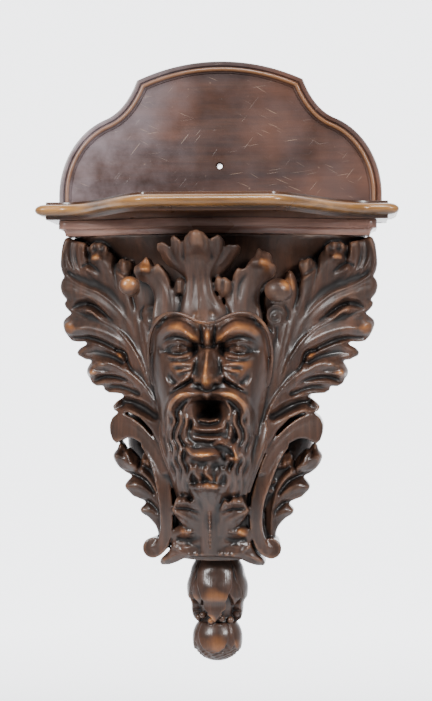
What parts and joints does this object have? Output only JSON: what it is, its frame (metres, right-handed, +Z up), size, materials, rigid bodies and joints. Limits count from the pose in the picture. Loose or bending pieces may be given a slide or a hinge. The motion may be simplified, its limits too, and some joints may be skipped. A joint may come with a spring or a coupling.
{
  "type": "carved corbel wall shelf",
  "caption": "Carved wooden wall bracket: a serpentine shelf with a shaped backboard, carried by a corbel of leaves, a bearded mask, scrolls and a pendant drop.",
  "frame": {"origin": "on the wall plane, on the centre line, at the height of the shelf's top surface", "axes": "+Z up, +Y into the wall, so the front faces -Y; X runs along the wall"},
  "size_m": [0.372, 0.2, 0.6247],
  "materials": {
    "backboard": "worn dark stain under an old satin varnish",
    "shelf": "stain rubbed to golden brown under varnish",
    "bed_board": "dark red-brown stain, satin varnish",
    "carved_corbel": "dark stain, satin varnish, rubbed bright on the high points",
    "pendant_drop": "dark stain, satin varnish, rubbed bright on the high points"
  },
  "bodies": {
    "root": {"backboard": "backboard", "shelf": "shelf", "bed_board": "bed_board", "carved_corbel": "carved_corbel", "pendant_drop": "pendant_drop"}
  },
  "joints": []
}
